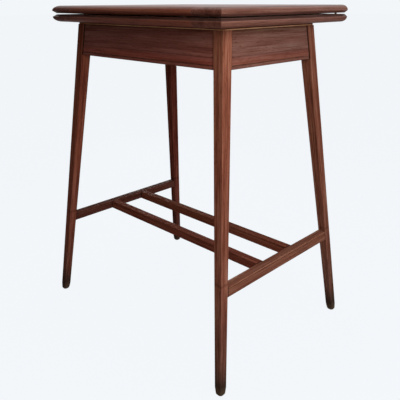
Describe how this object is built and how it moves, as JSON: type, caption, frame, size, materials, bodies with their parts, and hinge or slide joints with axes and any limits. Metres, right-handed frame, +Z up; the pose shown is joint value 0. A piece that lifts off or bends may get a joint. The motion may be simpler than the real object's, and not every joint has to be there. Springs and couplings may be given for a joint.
{
  "type": "console game table",
  "caption": "Small console game table: a hinged fold-over top swivels on a frame with splayed, tapered legs, aprons, stretchers and a card well.",
  "frame": {"origin": "on the floor, at the middle of the closed table's whole footprint (feet and top together)", "axes": "+X to the right along the table's long side, +Y to the back where the two leaves are hinged, +Z up"},
  "size_m": [0.6032, 0.4434, 0.74],
  "materials": {
    "frame_wood": "satin, stained mahogany",
    "top_wood": "satin, stained mahogany, paler and dustier on top",
    "slip_wood": "matt, unstained",
    "inner_wood": "raw softwood",
    "felt": "felt",
    "baize": "woollen baize",
    "hinge_brass": "aged",
    "pivot_steel": "plain steel, a little dull",
    "button_leather": "punched discs"
  },
  "bodies": {
    "frame": {"leg_front_left": "frame_wood", "leg_front_right": "frame_wood", "leg_back_left": "frame_wood", "leg_back_right": "frame_wood", "apron_front": "frame_wood", "apron_back": "frame_wood", "apron_left": "frame_wood", "apron_right": "frame_wood", "stretcher_left": "frame_wood", "stretcher_right": "frame_wood", "long_rail_front": "frame_wood", "long_rail_back": "frame_wood", "slip_front": "slip_wood", "slip_back": "slip_wood", "slip_left": "slip_wood", "slip_right": "slip_wood", "felt_front": "felt", "felt_back": "felt", "felt_left": "felt", "felt_right": "felt", "corner_blocks": "inner_wood", "corner_block_screws": "pivot_steel", "pivot_bearer": "inner_wood", "pivot_block": "inner_wood", "pivot_washer": "pivot_steel", "well_floor": "inner_wood", "well_partition": "inner_wood", "well_fillets": "inner_wood"},
    "lower_leaf": {"lower_leaf_board": "top_wood", "lower_leaf_clamp_left": "top_wood", "lower_leaf_clamp_right": "top_wood", "lower_leaf_baize": "baize", "hinge_plate_lower_left": "hinge_brass", "hinge_plate_lower_right": "hinge_brass", "hinge_pins_lower": "hinge_brass", "hinge_screws_lower": "hinge_brass", "pivot_plate": "pivot_steel", "pivot_plate_screws": "pivot_steel", "pivot_nut": "pivot_steel", "stop_closed": "inner_wood", "stop_open": "inner_wood", "stop_screws": "pivot_steel", "rest_buttons": "button_leather"},
    "hinge_links": {"hinge_link_left": "hinge_brass", "hinge_link_right": "hinge_brass"},
    "upper_leaf": {"upper_leaf_board": "top_wood", "upper_leaf_clamp_left": "top_wood", "upper_leaf_clamp_right": "top_wood", "upper_leaf_baize": "baize", "hinge_plate_upper_left": "hinge_brass", "hinge_plate_upper_right": "hinge_brass", "hinge_pins_upper": "hinge_brass", "hinge_screws_upper": "hinge_brass"}
  },
  "joints": [
    {"name": "swivel", "type": "hinge", "parent": "frame", "child": "lower_leaf", "pos_m": [0.10615, 0.1006, 0.688], "axis": [0, 0, 1], "range_deg": [0, 90]},
    {"name": "fold_lower", "type": "hinge", "parent": "lower_leaf", "child": "hinge_links", "pos_m": [0.0045, 0.2036, 0.7188], "axis": [-1, 0, 0], "range_deg": [0, 90]},
    {"name": "fold_upper", "type": "hinge", "parent": "hinge_links", "child": "upper_leaf", "pos_m": [0.0045, 0.2036, 0.7272], "axis": [-1, 0, 0], "range_deg": [0, 90]}
  ],
  "couplings": [
    {"joint": "fold_lower", "follows": "fold_upper", "ratio": 1}
  ]
}
